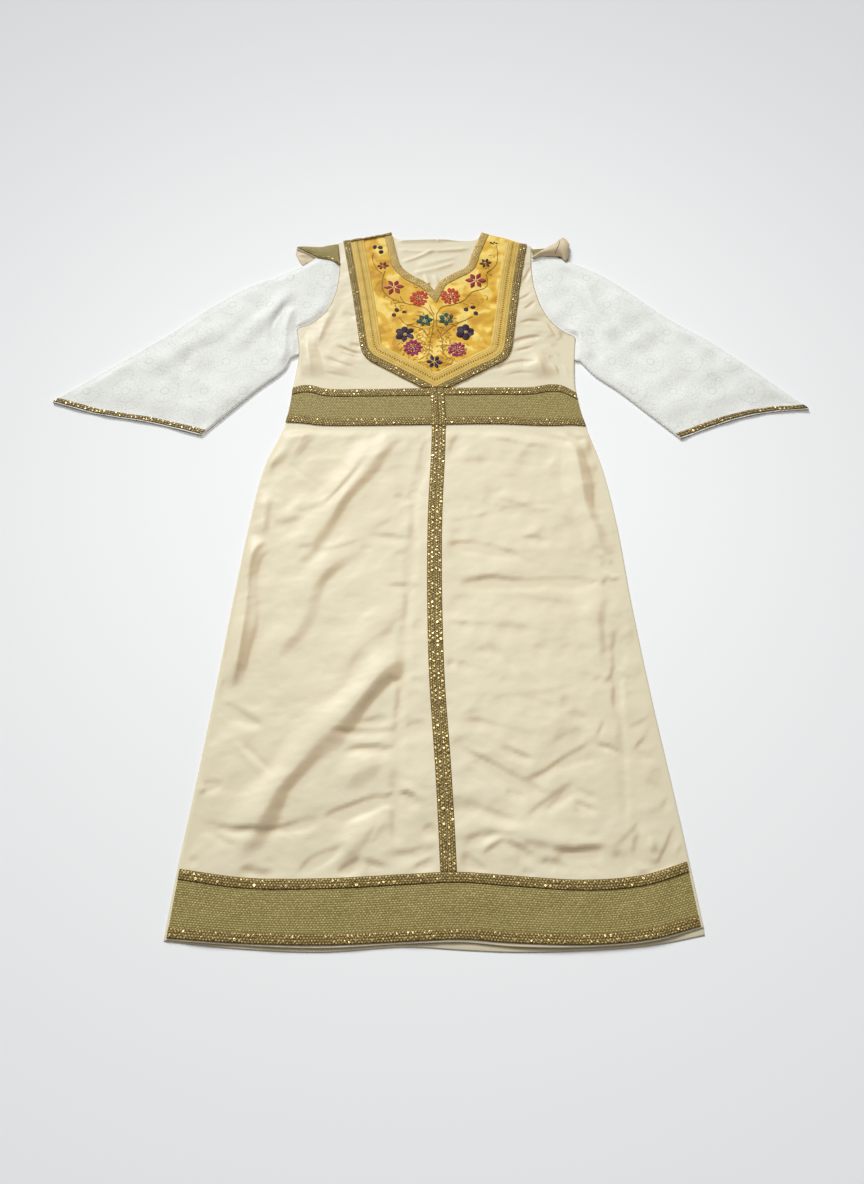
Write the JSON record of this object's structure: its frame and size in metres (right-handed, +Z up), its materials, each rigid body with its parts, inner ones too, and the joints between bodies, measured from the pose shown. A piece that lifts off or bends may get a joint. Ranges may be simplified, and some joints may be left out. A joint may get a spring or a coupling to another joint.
{
  "type": "dress laid flat",
  "caption": "Long A-line festive dress laid flat, with lace sleeves, an embroidered V-neck chest panel, sequinned braid, and brocade waist and hem bands.",
  "frame": {"origin": "on the surface the dress lies on, under the middle of its box", "axes": "+Z up from the surface, +Y from hem to neck, +X to the right of the dress as it lies face up, seen from above"},
  "size_m": [1.348, 1.312, 0.0158],
  "materials": {
    "satin": "cream satin-backed crepe with a soft sheen",
    "lace": "white guipure lace with flower rosettes, matt",
    "velvet": "golden yellow crushed velvet with flower embroidery",
    "pale_braid": "pale gold woven braid with a dotted zigzag",
    "olive_braid": "bronze-olive braid with two rows of small sequins",
    "neck_braid": "pale bronze twisted-thread braid",
    "brocade": "olive ground with close rows of pale gold dashes"
  },
  "bodies": {
    "root": {"front_bodice": "satin", "back_bodice": "satin", "front_skirt": "satin", "back_skirt": "satin", "sleeve_left": "lace", "sleeve_right": "lace", "chest_panel": "velvet", "chest_braid": "pale_braid", "chest_border": "olive_braid", "neck_braid": "neck_braid", "shoulder_braid_left": "olive_braid", "waist_band": "brocade", "waist_braid_upper": "olive_braid", "waist_braid_lower": "olive_braid", "centre_braid_left": "olive_braid", "centre_braid_right": "olive_braid", "hem_band": "brocade", "hem_braid_upper": "olive_braid", "hem_braid_lower": "olive_braid", "cuff_braid_left": "olive_braid", "cuff_braid_right": "olive_braid", "wing_face_left": "brocade", "wing_lining_left": "satin", "wing_face_right": "brocade", "wing_lining_right": "satin"}
  },
  "joints": []
}
